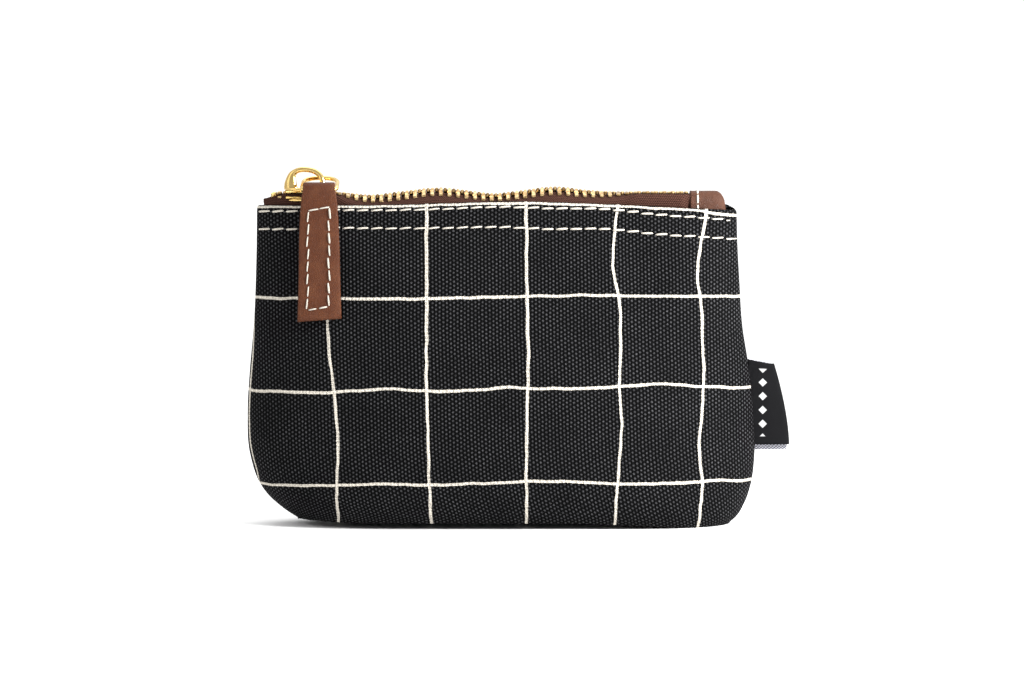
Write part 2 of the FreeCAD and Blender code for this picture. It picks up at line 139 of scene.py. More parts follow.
# By distance across: the zip's rise and fall, and how steeply both rows slope down from its middle.
CHAIN_WAVE = [
    (-75, 0), (-53, 0), (-50, -0.05), (-47, -0.3), (-40, -1.0), (-31, -0.1), (-19, 1.1), (-9, 0.1),
    (-3, -0.6), (5, 0.2), (16, 1.4), (25, 0.5), (32, 0.1), (38, 0), (42, 0), (60, 0),
]
CHAIN_ROLL = [
    (-75, 0), (-53, 0), (-51, 0), (-45, 0.4), (-36, 0.6), (-20, 0.6), (0, 0.6), (24, 0.55), (34, 0.3),
    (40, 0), (43, 0), (60, 0),
]

# Where the printed lines cross each height, left to right: (height, across).
COLUMNS = [
    [(0, -72), (15, -73.7), (23, -75.7), (32, -76.3), (41, -76.0), (51, -75.2), (68, -74.9), (97, -79)],
    [(0, -48.9), (15, -49.2), (24, -48.8), (32, -49.3), (42, -50.1), (53, -51.6), (63, -52.2), (97, -52.6)],
    [(0, -20.9), (14, -21.6), (27, -22.0), (42, -22.4), (68, -22.5), (97, -22.6)],
    [(0, 7.4), (15, 7.2), (27, 7.3), (42, 7.6), (55, 7.7), (68, 7.5), (97, 7.1)],
    [
        (0, 33.4), (13, 34.1), (22, 34.9), (31, 35.5), (42, 34.9), (60, 35.3), (69, 34.8), (76, 33.4),
        (87, 33.3), (97, 34.6),
    ],
    [
        (0, 58.4), (14, 59.6), (25, 58.6), (33, 59.4), (42, 60.0), (53, 59.8), (70, 59.2), (78, 58.3),
        (87, 59.5), (97, 61.2),
    ],
    [(0, 86), (97, 90)],
]
# How high each line that runs across is, from the mouth down: (across, height).
ROWS = [
    [(-76, 68.5), (-45, 68.6), (-22, 68.8), (7, 69.4), (23, 69.7), (35, 69.6), (59, 69.2), (76, 68.7)],
    [
        (-76, 40.7), (-60, 40.7), (-51, 40.7), (-45, 41.2), (-33, 42.1), (-22, 41.6), (-12, 41.6), (-1, 42.5),
        (11, 42.4), (23, 42.3), (35, 43.0), (44, 43.5), (53, 42.7), (60, 42.0), (76, 41.3),
    ],
    [
        (-76, 12.3), (-60, 12.9), (-49, 13.4), (-36, 13.9), (-22, 13.7), (-10, 14.2), (7, 14.9), (20, 14.7),
        (34, 14.0), (44, 14.0), (59, 14.2), (76, 12.9),
    ],
]


# ---------------- small maths
def smooth(t):
    t = np.clip(t, 0, 1)
    return t * t * (3 - 2 * t)


def curve(x, points):
    """A smooth curve through (place, value) points, which keeps its end values beyond them."""
    px, py = np.array(points, float).T
    slope = np.gradient(py, px)
    x = np.clip(np.asarray(x, float), px[0], px[-1])
    i = np.clip(np.searchsorted(px, x, side="right") - 1, 0, len(px) - 2)
    h = px[i + 1] - px[i]
    t = (x - px[i]) / h
    start = (2 * t**3 - 3 * t**2 + 1) * py[i] + (t**3 - 2 * t**2 + t) * h * slope[i]
    end = (3 * t**2 - 2 * t**3) * py[i + 1] + (t**3 - t**2) * h * slope[i + 1]
    return start + end


def unit(v):
    return v / np.maximum(np.linalg.norm(v, axis=-1, keepdims=True), 1e-9)


# ---------------- meshes
def grid_faces(rows, cols, closed=False):
    """Quads of a rows by cols sheet of points, joined round when closed."""
    j, i = np.meshgrid(np.arange(rows - 1), np.arange(cols if closed else cols - 1), indexing="ij")
    k = (i + 1) % cols
    quads = np.stack([j * cols + i, j * cols + k, (j + 1) * cols + k, (j + 1) * cols + i], axis=-1)
    return quads.reshape(-1, 4).tolist()


def add_object(name, data):
    made = bpy.data.objects.new(name, data)
    bpy.context.scene.collection.objects.link(made)
    return made


def mesh_object(name, points, faces, material, uv=None, smooth_shading=True):
    """A mesh in metres from points in millimetres. uv holds one (u, v) pair to a point."""
    mesh = bpy.data.meshes.new(name)
    mesh.from_pydata((np.asarray(points).reshape(-1, 3) * MM).tolist(), [], faces)
    mesh.materials.append(material)
    for layer_name, values in (uv or {}).items():
        layer = mesh.uv_layers.new(name=layer_name)
        index = np.empty(len(mesh.loops), np.int32)
        mesh.loops.foreach_get("vertex_index", index)
        layer.data.foreach_set("uv", np.asarray(values).reshape(-1, 2)[index].ravel())
    mesh.polygons.foreach_set("use_smooth", [smooth_shading] * len(mesh.polygons))
    mesh.update()
    return add_object(name, mesh)


def thicken(made, thickness, offset=0):
    modifier = made.modifiers.new("thickness", "SOLIDIFY")
    modifier.thickness = thickness * MM
    modifier.offset = offset
    return modifier


class Pieces:
    """Collects many small solids into one mesh, and where each one is anchored."""

    def __init__(self):
        self.points = []
        self.faces = []
        self.anchors = []
        self.count = 0

    def add(self, points, faces, anchor=None):
        points = np.asarray(points, float).reshape(-1, 3)
        self.points.append(points)
        self.faces += [[v + self.count for v in f] for f in faces]
        anchor = points.mean(0) if anchor is None else anchor
        self.anchors.append(np.repeat([anchor], len(points), axis=0))
        self.count += len(points)

    def build(self, name, material, smooth_shading=True):
        made = mesh_object(name, np.vstack(self.points), self.faces, material, None, smooth_shading)
        return made, np.vstack(self.anchors)


def tube(path, radius, sides=8, closed=False):
    """A round thread or wire along a path, with rounded-off ends when it is open."""
    path = np.asarray(path, float)
    ahead = np.roll(path, -1, 0) - np.roll(path, 1, 0)
    if not closed:
        ahead[0], ahead[-1] = path[1] - path[0], path[-1] - path[-2]
    ahead = unit(ahead)
    side = np.cross(ahead[0], [0.31, 0.17, 0.93])
    sides_dir = []
    for a in ahead:
        side = unit(side - a * np.dot(side, a))
        sides_dir.append(side)
    sides_dir = np.array(sides_dir)
    other = np.cross(ahead, sides_dir)
    turn = np.linspace(0, 2 * math.pi, sides, endpoint=False)
    radii = np.full(len(path), float(radius)) if np.isscalar(radius) else np.asarray(radius, float)
    ring = sides_dir[:, None] * np.cos(turn)[None, :, None] + other[:, None] * np.sin(turn)[None, :, None]
    points = (path[:, None] + ring * radii[:, None, None]).reshape(-1, 3)
    rows = len(path)
    faces = grid_faces(rows, sides, closed=True)
    if closed:
        last = (rows - 1) * sides
        faces += [[last + i, last + (i + 1) % sides, (i + 1) % sides, i] for i in range(sides)]
    else:
        faces += [list(range(sides))[::-1], list(range((rows - 1) * sides, rows * sides))]
    return points, faces


def stitch(start, end, out, radius=0.31, bury=0.45):
    """One stitch: a short fat thread that comes out of the cloth, lies on it and goes back in."""
    start, end, out = (np.asarray(v, float) for v in (start, end, out))
    share = np.array([0.0, 0.09, 0.25, 0.5, 0.75, 0.91, 1.0])
    lift = np.array([-bury, 0.05, 0.2, 0.26, 0.2, 0.05, -bury])
    path = start + (end - start) * share[:, None] + out * lift[:, None]
    return tube(path, radius * np.array([0.6, 0.85, 1, 1.05, 1, 0.85, 0.6]))


def rounded_box(size, centre, edge):
    """A box with its edges cut back, as points and faces."""
    half, centre = np.asarray(size, float) / 2, np.asarray(centre, float)
    corners = list(itertools.product((-1, 1), repeat=3))
    points, index = [], {}
    for axis in range(3):
        for sign in corners:
            corner = sign * (half - edge)
            corner[axis] = sign[axis] * half[axis]
            index[axis, sign] = len(points)
            points.append(centre + corner)

    def at(owner, axis, s, p, q):
        """The point that owner's face has at the corner s along axis, and p and q along the others."""
        sign = [p, q]
        sign.insert(axis, s)
        return index[owner, tuple(sign)]

    ring = [(-1, -1), (1, -1), (1, 1), (-1, 1)]
    faces = [[at(axis, axis, s, p, q) for p, q in ring] for axis in range(3) for s in (-1, 1)]
    for axis in range(3):
        a, b = [k for k in range(3) if k != axis]
        for p, q in ring:
            faces.append([at(owner, axis, s, p, q) for owner, s in ((a, -1), (a, 1), (b, 1), (b, -1))])
    faces += [[index[axis, sign] for axis in range(3)] for sign in corners]
    return np.array(points), faces


def ribbon(path, across, widths, thickness, slant=None, edge=0.3):
    """A strip with rounded edges swept along a path. across is the direction of its width."""
    soft = edge * 0.3
    path, across = np.asarray(path, float), np.asarray(across, float)
    ahead = unit(np.gradient(path, axis=0))
    out = unit(np.cross(across, ahead))
    points = []
    for k, centre in enumerate(path):
        w = widths[k] / 2
        t = (thickness if np.isscalar(thickness) else thickness[k]) / 2
        upper = [(-w, 0), (-w + soft, t - soft), (-w + edge, t), (-w * 0.4, t)]
        upper += [(-a, o) for a, o in reversed(upper)]
        lower = [(a, -o) for a, o in reversed(upper[1:-1])]
        for a, o in upper + lower:
            shift = ahead[k] * (slant[k] * a / w if slant is not None else 0)
            points.append(centre + across * a + out[k] * o + shift)
    sides = len(points) // len(path)
    faces = grid_faces(len(path), sides, closed=True)
    faces += [list(range(sides))[::-1], list(range((len(path) - 1) * sides, len(path) * sides))]
    return np.array(points), faces


# ---------------- materials
class Shader:
    """A node material, built a node at a time."""

    def __init__(self, name, roughness=0.8, colour=(0.5, 0.5, 0.5), metallic=0.0, gloss=0.1, sheen=0.0):
        self.material = bpy.data.materials.new(name)
        self.material.use_nodes = True
        self.tree = self.material.node_tree
        self.surface = self.tree.nodes["Principled BSDF"]
        self.surface.inputs["Roughness"].default_value = roughness
        self.surface.inputs["Base Color"].default_value = (*colour, 1)
        self.surface.inputs["Metallic"].default_value = metallic
        self.surface.inputs["Specular IOR Level"].default_value = gloss
        self.surface.inputs["Sheen Weight"].default_value = sheen
        self.surface.inputs["Sheen Roughness"].default_value = 0.5

    def node(self, kind, **settings):
        made = self.tree.nodes.new(kind)
        for key, value in settings.items():
            setattr(made, key, value)
        return made

    def link(self, source, target):
        if isinstance(source, bpy.types.NodeSocket):
            self.tree.links.new(source, target)
        else:
            target.default_value = source

    def maths(self, operation, *values):
        made = self.node("ShaderNodeMath", operation=operation)
        for socket, value in zip(made.inputs, values):
            self.link(value, socket)
        return made.outputs[0]

    def times(self, first, second):
        return self.maths("MULTIPLY", first, second)

    def plus(self, first, second):
        return self.maths("ADD", first, second)

    def minus(self, first, second):
        return self.maths("SUBTRACT", first, second)

    def ridges(self, value, pitch):
        """Rounded ridges, 0 between them and 1 along their tops."""
        return self.maths("ABSOLUTE", self.maths("SINE", self.times(value, math.pi / pitch)))

    def uv(self, layer):
        split = self.node("ShaderNodeSeparateXYZ")
        source = self.node("ShaderNodeUVMap", uv_map=layer)
        self.link(source.outputs[0], split.inputs[0])
        return split.outputs[0], split.outputs[1]

    def noise(self, scale, detail=2.0, vector=None, roughness=0.5):
        made = self.node("ShaderNodeTexNoise")
        made.inputs["Scale"].default_value = scale
        made.inputs["Detail"].default_value = detail
        made.inputs["Roughness"].default_value = roughness
        if vector is None:
            vector = self.node("ShaderNodeTexCoord").outputs["Object"]
        self.link(vector, made.inputs["Vector"])
        return made.outputs[0]

    def vector(self, x, y):
        made = self.node("ShaderNodeCombineXYZ")
        for socket, value in zip(made.inputs, (x, y)):
            self.link(value, socket)
        return made.outputs[0]

    def band(self, value, low, high):
        """0 below low, 1 above high, smooth between them."""
        made = self.node("ShaderNodeMapRange", interpolation_type="SMOOTHSTEP")
        self.link(value, made.inputs[0])
        made.inputs[1].default_value = low
        made.inputs[2].default_value = high
        return made.outputs[0]

    def mix(self, share, first, second):
        made = self.node("ShaderNodeMix", data_type="RGBA")
        self.link(share, made.inputs[0])
        for value, socket in ((first, made.inputs[6]), (second, made.inputs[7])):
            self.link((*value, 1) if isinstance(value, tuple) else value, socket)
        return made.outputs[2]

    def bump(self, height, distance, strength=1.0, after=None):
        made = self.node("ShaderNodeBump")
        made.inputs["Strength"].default_value = strength
        made.inputs["Distance"].default_value = distance
        self.link(height, made.inputs["Height"])
        if after is not None:
            self.link(after, made.inputs["Normal"])
        return made.outputs[0]

    def finish(self, colour=None, normal=None, roughness=None):
        for value, socket in ((colour, "Base Color"), (normal, "Normal"), (roughness, "Roughness")):
            if value is not None:
                self.link(value, self.surface.inputs[socket])
        return self.material


def weave(shader, u, v, pitch_across, pitch_down):
    """The bumps of a plain weave, above 0 on one set of threads, from distances in millimetres."""
    place = shader.vector(u, v)
    wander = shader.noise(0.3, 2.0, place)
    wander = shader.times(shader.minus(wander, 0.5), 0.5)
    p = shader.times(shader.plus(u, wander), math.pi / pitch_across)
    q = shader.times(shader.plus(v, wander), math.pi / pitch_down)
    rows = shader.maths("SINE", p)
    product = shader.times(rows, shader.maths("SINE", q))
    return product, shader.times(rows, rows), place


def canvas_material():
    shader = Shader("canvas", roughness=0.75, gloss=0.03)
    u, v = shader.uv("cloth")
    product, rows, place = weave(shader, u, v, WEAVE_ACROSS, WEAVE_DOWN)
    bumps = shader.maths("ABSOLUTE", product)
    floats = shader.times(shader.plus(product, rows), 0.5)
    specks = shader.noise(1.3, 2.0, place, 0.6)
    worn = shader.noise(0.09, 3.0, place)
    # Painted highlight: bright dots on the thread crowns where light would catch them, stronger in the worn
    # patches.
    painted_thread_highlight = shader.times(shader.band(floats, 0.12, 0.98), shader.band(specks, 0.05, 0.8))
    painted_thread_highlight = shader.times(painted_thread_highlight, shader.plus(worn, 0.5))
    # Painted shade: the canvas is darker still in the gaps between the threads.
    base = shader.mix(shader.band(bumps, 0.0, 0.6), (0.0008, 0.0008, 0.0009), (0.003, 0.003, 0.0033))
    colour = shader.mix(painted_thread_highlight, base, (0.072, 0.072, 0.076))

    across, down = shader.uv("grid")
    ragged = shader.times(shader.minus(shader.noise(1.5, 3.0, place, 0.7), 0.5), 0.42)
    waver = shader.times(shader.minus(shader.noise(0.14, 1.0, place), 0.5), 0.035)
    lines = []
    for coordinate in (across, down):
        moved = shader.plus(coordinate, waver)
        near = shader.maths("ABSOLUTE", shader.minus(moved, shader.maths("ROUND", moved)))
        distance = shader.times(near, GRID_CELL)
        lines.append(shader.plus(distance, ragged))
    nearest = shader.maths("MINIMUM", *lines)
    inked = shader.minus(1.0, shader.band(nearest, 0.36, 0.52))
    gaps = shader.times(shader.band(bumps, 0.0, 0.25), shader.band(specks, 0.2, 0.36))
    inked = shader.times(inked, shader.maths("MAXIMUM", gaps, 0.8))
    cream = shader.mix(specks, (0.50, 0.46, 0.39), (0.80, 0.75, 0.66))
    colour = shader.mix(inked, colour, cream)

    height = shader.plus(floats, shader.times(shader.noise(4.0, 2.0, place), 0.4))
    normal = shader.bump(height, 0.00026)
    normal = shader.bump(inked, 0.00022, after=normal)
    return shader.finish(colour, normal)


def lining_material():
    shader = Shader("lining", roughness=0.9)
    u, v = shader.uv("cloth")
    product, _, place = weave(shader, u, v, 0.35, 0.35)
    shade = shader.noise(0.3, 3.0, place)
    colour = shader.mix(shade, (0.035, 0.032, 0.033), (0.065, 0.06, 0.06))
    return shader.finish(colour, shader.bump(product, 0.0001))


def tape_material():
    """Brown twill: fine ribs that lean along the tape."""
    shader = Shader("tape", roughness=0.8, gloss=0.03)
    u, v = shader.uv("cloth")
    place = shader.vector(u, v)
    leaning = shader.ridges(shader.plus(u, shader.times(v, 0.8)), 0.62)
    across = shader.ridges(v, 0.7)
    ribs = shader.plus(shader.times(leaning, 0.7), shader.times(across, 0.5))
    colour = shader.mix(shader.times(ribs, 0.8), (0.004, 0.002, 0.0015), (0.10, 0.045, 0.033))
    patch = shader.noise(0.8, 2.0, place)
    colour = shader.mix(shader.times(patch, 0.35), colour, (0.035, 0.017, 0.013))
    return shader.finish(colour, shader.bump(ribs, 0.00025))


def leather_material(name, field, raised):
    shader = Shader(name, roughness=0.5, gloss=0.2)
    grain = shader.node("ShaderNodeTexVoronoi", feature="DISTANCE_TO_EDGE")
    grain.inputs["Scale"].default_value = 1900.0
    shader.link(shader.node("ShaderNodeTexCoord").outputs["Object"], grain.inputs["Vector"])
    pores = shader.band(grain.outputs["Distance"], 0.02, 0.22)
    cloud = shader.noise(260.0, 4.0)
    fine = shader.noise(2600.0, 3.0)
    colour = shader.mix(shader.band(cloud, 0.35, 0.8), field, raised)
    colour = shader.mix(shader.times(shader.band(fine, 0.4, 0.75), 0.35), colour, raised)
    creases = shader.times(shader.minus(1.0, pores), 0.35)
    colour = shader.mix(creases, colour, (0.05, 0.02, 0.012))
    height = shader.plus(pores, shader.times(fine, 0.8))
    normal = shader.bump(height, 0.00007)
    normal = shader.bump(cloud, 0.00035, 0.6, after=normal)
    return shader.finish(colour, normal, shader.plus(shader.times(cloud, 0.3), 0.38))


def thread_material():
    shader = Shader("thread", roughness=0.7, sheen=0.1)
    fuzz = shader.noise(2600.0, 2.0)
    colour = shader.mix(fuzz, (0.38, 0.34, 0.28), (0.72, 0.68, 0.6))
    return shader.finish(colour, shader.bump(fuzz, 0.00012))


def brass_material():
    shader = Shader("brass", roughness=0.2, metallic=1.0)
    tarnish = shader.noise(420.0, 3.0)
    colour = shader.mix(tarnish, (0.62, 0.40, 0.12), (0.88, 0.66, 0.28))
    return shader.finish(colour, None, shader.plus(shader.times(tarnish, 0.16), 0.1))


def teeth_material():
    shader = Shader("teeth_brass", roughness=0.3, metallic=1.0)
    tarnish = shader.noise(900.0, 3.0)
    colour = shader.mix(shader.band(tarnish, 0.35, 0.7), (0.30, 0.19, 0.08), (0.70, 0.52, 0.27))
    return shader.finish(colour, None, shader.plus(shader.times(tarnish, 0.3), 0.15))


DIAMOND_COLUMN = 4.6
DIAMOND_PITCH = 4.2


def ribbon_material():
    """Black woven ribbon with a plain column of small pale diamonds in place of any lettering."""
    shader = Shader("ribbon", roughness=0.6, gloss=0.04)
    u, v = shader.uv("cloth")
    ribs = shader.ridges(v, 0.32)
    threads = shader.ridges(u, 0.22)
    pattern = shader.times(ribs, threads)
    colour = shader.mix(pattern, (0.003, 0.003, 0.0033), (0.013, 0.013, 0.0145))
    centred = shader.maths("ABSOLUTE", shader.minus(u, DIAMOND_COLUMN))
    part = shader.maths("FRACT", shader.maths("DIVIDE", v, DIAMOND_PITCH))
    step = shader.maths("ABSOLUTE", shader.minus(part, 0.5))
    diamond = shader.plus(centred, shader.times(step, DIAMOND_PITCH))
    marked = shader.minus(1.0, shader.band(diamond, 1.15, 1.35))
    marked = shader.times(marked, shader.band(ribs, 0.1, 0.4))
    past_end = shader.minus(1.0, shader.band(v, 23.0, 23.2))
    marked = shader.times(marked, shader.times(shader.band(v, 2.4, 2.6), past_end))
    colour = shader.mix(marked, colour, (0.62, 0.62, 0.62))
    return shader.finish(colour, shader.bump(pattern, 0.0001))


def ribbon_back_material():
    """The ribbon's pale reverse, with its loose threads showing."""
    shader = Shader("ribbon_back", roughness=0.8)
    u, v = shader.uv("cloth")
    product, _, _ = weave(shader, u, v, 0.5, 0.4)
    colour = shader.mix(shader.band(product, -0.2, 0.5), (0.12, 0.12, 0.14), (0.60, 0.60, 0.66))
    return shader.finish(colour, shader.bump(product, 0.0001))


CANVAS = canvas_material()
LINING = lining_material()
TAPE = tape_material()
STRAP_LEATHER = leather_material("leather", (0.080, 0.020, 0.005), (0.115, 0.036, 0.012))
TAB_LEATHER = leather_material("tab_leather", (0.052, 0.018, 0.0085), (0.085, 0.032, 0.016))
THREAD = thread_material()
SEAM_THREAD = Shader("seam_thread", colour=(0.03, 0.03, 0.03)).material
BRASS = brass_material()
TEETH = teeth_material()
RIBBON = ribbon_material()
RIBBON_BACK = ribbon_back_material()


def ride_front(made, anchors=None):
    """Bakes a front piece's placement into its mesh, and works out anchors at its points when none are given;
    they are not used further.
    """
    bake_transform(made)
    if anchors is None:
        anchors = np.array([v.co for v in made.data.vertices]) / MM


def place(made, node, front=False, slot=None, anchors=None):
    """The piece hides its CAD node; unless it is a front piece, it moves with that node's body."""
    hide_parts(node)
    if front:
        ride_front(made, anchors)
    else:
        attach(made, frame["nodes"][node]["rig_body"])


def cloth_object(name, cloth, material, **more_uv):
    """The sheet of points as a mesh. Its "cloth" layer is in millimetres along the sheet."""
    uv = {"cloth": np.stack([cloth.across, cloth.down], axis=-1), **more_uv}
    return mesh_object(name, cloth.points, grid_faces(*cloth.points.shape[:2]), material, uv)


# ---------------- canvas
def wall(across, height, inset, side):
    """A point of the body's outline: across runs from -1 at the left seam to 1 at the right."""
    left, right = curve(height, LEFT_EDGE), curve(height, RIGHT_EDGE)
    half = (left + right) / 2 - inset
    x = (right - left) / 2 + half * across
    reach = np.maximum(1 - np.abs(across) ** curve(height, SQUARENESS), 0) ** (1 / SIDE_ROUNDNESS)
    return x, side * np.maximum(curve(height, DEPTH) - inset, 0.2) * reach


def fold_drop(x, side):
    """How far the mouth's folded edge falls below its usual height."""
    if side < 0:
        return curve(x, FRONT_DROP)
    return 0.3 * np.sin(x / 11.0 + 1.0) - 0.4 * smooth((x - 50) / 14) + 2.0 * smooth((x - 67) / 5)


def relief(x, z, side):
    """Shallow dents and swells of the wall, outward."""
    broad = 0.5 * np.sin(x / 17.0 + 0.8) * np.sin(z / 15.0 + 0.4 * side)
    mid = 0.28 * np.sin(x / 8.3 + z / 19.0) * np.sin(z / 9.0 - x / 31.0)
    crease = -0.9 * np.exp(-(((x - 40 + 0.25 * (z - 80)) / 7.0) ** 2) - ((z - 82) / 13.0) ** 2)
    swell = 0.9 * np.exp(-(((x - 56) / 9.0) ** 2) - ((z - 72) / 20.0) ** 2)
    return broad + mid + (crease + swell if side < 0 else 0)


def cloth_points(profile, side, columns=360):
    """Sheet of points from profile rows (height, inset, share of depth) and evenly turned columns."""
    turn = np.linspace(-math.pi / 2, math.pi / 2, columns)
    across = np.sin(turn)[None, :]
    height, inset, share = (np.array(v, float)[:, None] for v in zip(*profile))
    x, y = wall(across, height + 0 * across, inset, side)
    z = height + 0 * x
    fade = (1 - np.abs(across) ** 6) * smooth(z / 9) * smooth((TOP - 1.5 - z) / 9)
    y = (y + side * relief(x, z, side) * fade) * share
    z = z - fold_drop(x, side) * smooth((z - 50) / (TOP - 52))
    under = np.where(share < 1, 1 - share, 0)
    lift = curve(x, SOLE) * np.where(share < 1, share, 1) + 1.3 * smooth((-x - 46) / 15) * under
    z = z + lift * (1 - smooth(height / 14))
    return np.stack([x, y, z], axis=-1)


def steps(start, end, length):
    return np.linspace(start, end, max(2, int(abs(end - start) / length) + 1))


def panel_profile():
    """From the hem inside, over the fold, down the wall and in under the base."""
    shoulder = TOP - FOLD_RADIUS
    rows = [(h, 2 * FOLD_RADIUS, 1.0) for h in steps(HEM_BOTTOM, shoulder, 1.2)]
    turns = np.linspace(math.pi, 0, 9)
    fold_row = len(rows) + len(turns) // 2
    rows += [(shoulder + FOLD_RADIUS * math.sin(t), FOLD_RADIUS * (1 - math.cos(t)), 1.0) for t in turns[1:]]
    rows += [(h, 0.0, 1.0) for h in steps(shoulder, TURN_IN, 0.75)[1:]]
    rows += [(TURN_IN * (1 - t) ** 1.7, 0.0, 1.0) for t in np.linspace(0, 1, 20)[1:]]
    rows += [(0.0, 0.0, 1 - t) for t in np.linspace(0, 1, 14)[1:]]
    return rows, fold_row


class Cloth:
    """A sheet of points with distances along it, for its weave and for laying stitches on it."""

    def __init__(self, points, fold_row):
        self.points = points
        middle = points.shape[1] // 2
        along = np.linalg.norm(np.diff(points, axis=1), axis=-1)
        self.across = np.concatenate([np.zeros((len(points), 1)), np.cumsum(along, axis=1)], axis=1)
        self.across -= self.across[:, middle : middle + 1]
        drop = np.linalg.norm(np.diff(points, axis=0), axis=-1)
        self.down = np.concatenate([np.zeros((1, points.shape[1])), np.cumsum(drop, axis=0)], axis=0)
        self.down -= self.down[fold_row : fold_row + 1]
        self.fold_row = fold_row

    def at(self, x, down):
        """The point and outward direction at a place across and a distance down from the fold."""
        row = self.fold_row
        for _ in range(3):
            column = int(np.clip(np.searchsorted(self.points[row, :, 0], x), 2, self.points.shape[1] - 3))
            row = int(np.searchsorted(self.down[:, column], down))
            row = min(max(row, 1), len(self.points) - 2)
        a, b = self.points[row, column - 1], self.points[row, column]
        t = (x - a[0]) / max(b[0] - a[0], 1e-6)
        upper, lower = self.down[row - 1, column], self.down[row, column]
        s = (down - upper) / max(lower - upper, 1e-6)
        top = self.points[row - 1, column - 1] * (1 - t) + self.points[row - 1, column] * t
        low = a * (1 - t) + b * t
        point = top * (1 - s) + low * s
        normal = unit(np.cross(b - a, low - top))
        return point, normal if normal[1] * point[1] > 0 else -normal


def grid_coordinates(cloth, side):
    """Coordinates that are whole numbers on the printed lines."""
    points = cloth.points
    x = points[..., 0]
    heights = points[:, points.shape[1] // 2, 2]
    across = np.empty_like(x)
    numbers = np.arange(-1, len(COLUMNS) + 1)
    for j, height in enumerate(heights):
        crossings = np.array([curve(height, column) for column in COLUMNS])
        over = crossings - np.clip(crossings, x[j, 0], x[j, -1])
        arcs = np.interp(crossings, x[j], cloth.across[j]) + over
        arcs = [arcs[0] - GRID_CELL, *arcs, arcs[-1] + GRID_CELL]
        across[j] = np.interp(cloth.across[j], arcs, numbers)
    fold = x[cloth.fold_row]
    down = cloth.down
    # How far down the cloth each line lies. Under the base, one more follows at the usual spacing.
    marks = [0.7 + 1.0 * smooth((fold - 54) / 12) * (side < 0)]
    columns_index = np.arange(points.shape[1])
    for row in ROWS:
        wanted = curve(fold, row)
        nearest = np.abs(points[cloth.fold_row :, :, 2] - wanted).argmin(axis=0) + cloth.fold_row
        marks.append(down[nearest, columns_index] + (points[nearest, columns_index, 2] - wanted))
    marks.append(marks[-1] + GRID_CELL)
    along = (down - marks[0]) / GRID_CELL
    for k in range(len(marks) - 1):
        inside = down >= marks[k]
        along = np.where(inside, k + (down - marks[k]) / (marks[k + 1] - marks[k]), along)
    return np.stack([across, along], axis=-1)


def make_panel(side):
    node = FACE[side] + "_panel"
    rows, fold_row = panel_profile()
    cloth = Cloth(cloth_points(rows, side), fold_row)
    made = cloth_object("canvas_" + node, cloth, CANVAS, grid=grid_coordinates(cloth, side))
    place(made, node, side < 0, "canvas")
    return cloth


def make_lining(side):
    node = FACE[side] + "_lining"
    rows = [(h, LINING_INSET, 1.0) for h in steps(LINING_TOP, TURN_IN, 1.6)]
    turn_in = TURN_IN - LINING_BOTTOM
    rows += [(LINING_BOTTOM + turn_in * (1 - t) ** 1.7, LINING_INSET, 1.0) for t in np.linspace(0, 1, 12)[1:]]
    rows += [(LINING_BOTTOM, LINING_INSET, 1 - t) for t in np.linspace(0, 1, 8)[1:]]
    points = cloth_points(rows, side, 200)
    x, y, z = np.moveaxis(points, -1, 0)
    sag = 0.5 * (1 + np.sin(x / 6.0 + z / 11.0) * np.sin(z / 13.0)) * smooth((LINING_TOP - z) / 12)
    points[..., 1] = y - side * sag * np.minimum(1, np.abs(y) / 4)
    cloth = Cloth(points, 0)
    made = cloth_object("cloth_" + node, cloth, LINING)
    place(made, node, side < 0, "lining")


def make_topstitch(cloth, side, row_name):
    """Stitches set out along the mouth, each on its own bit of cloth."""
    name = f"{FACE[side]}_{row_name}_topstitch"
    pieces = Pieces()
    x, limit = TOPSTITCH_ENDS
    while x + 0.8 * TOPSTITCH_PITCH < limit:
        start_x, end_x = x, x + TOPSTITCH_PITCH * 0.86
        depth = curve(x, TOPSTITCH_ROWS[row_name]) + 0.12 * math.sin(x / 6.0) + 0.1 * math.sin(x * 1.7)
        start, out = cloth.at(start_x, depth + 0.14)
        end, _ = cloth.at(end_x, depth - 0.14 + 0.1 * math.sin(x * 2.3))
        pieces.add(*stitch(start, end, out, STITCH_RADIUS + 0.03 * math.sin(x * 2.9)))
        x += TOPSTITCH_PITCH
    made, anchors = pieces.build(name + "_thread", THREAD)
    place(made, name, side < 0, "thread", anchors)


def inside_wall(side, y, height, inset):
    """How far across the body's outline lies at a depth of y, on one side."""
    room = curve(height, DEPTH) - inset
    across = (1 - (abs(y) / room) ** SIDE_ROUNDNESS) ** (1 / curve(height, SQUARENESS))
    return wall(side * across, height, inset, 1)[0]


def make_seam(name, limits, place_at, out, bury=0.1):
    """A row of hidden stitches. place_at gives the seam's place at a distance along it."""
    pieces = Pieces()
    for start in np.arange(*limits, SEAM_PITCH):
        pieces.add(*stitch(place_at(start), place_at(start + SEAM_STITCH), out, SEAM_RADIUS, bury))
    made, _ = pieces.build(name, SEAM_THREAD)
    place(made, name + "_thread", slot="seam_thread")


def make_seam_threads():
    """Closing seams, between the canvas and the lining."""
    for name, side in (("left", -1), ("right", 1)):

        def side_place(z):
            return [wall(side, z, 1.4, 1)[0], SEAM_BEHIND, z]

        def corner_place(y):
            return [inside_wall(side, y, CORNER_SEAM_HEIGHT, 2.0), y, CORNER_SEAM_HEIGHT]

        make_seam(name + "_seam", SIDE_SEAM, side_place, [side, 0, 0])
        make_seam(name + "_corner", CORNER_SEAM, corner_place, [side, 0, 0])

    def base_place(x):
        return [x, SEAM_BEHIND, BASE_SEAM_HEIGHT]

    make_seam("bottom_seam", BASE_SEAM, base_place, [0, 0, -1], 0.05)


# ---------------- zip
def chain_rise(x):
    return curve(x, CHAIN_WAVE)


def chain_roll(x):
    return curve(x, CHAIN_ROLL)


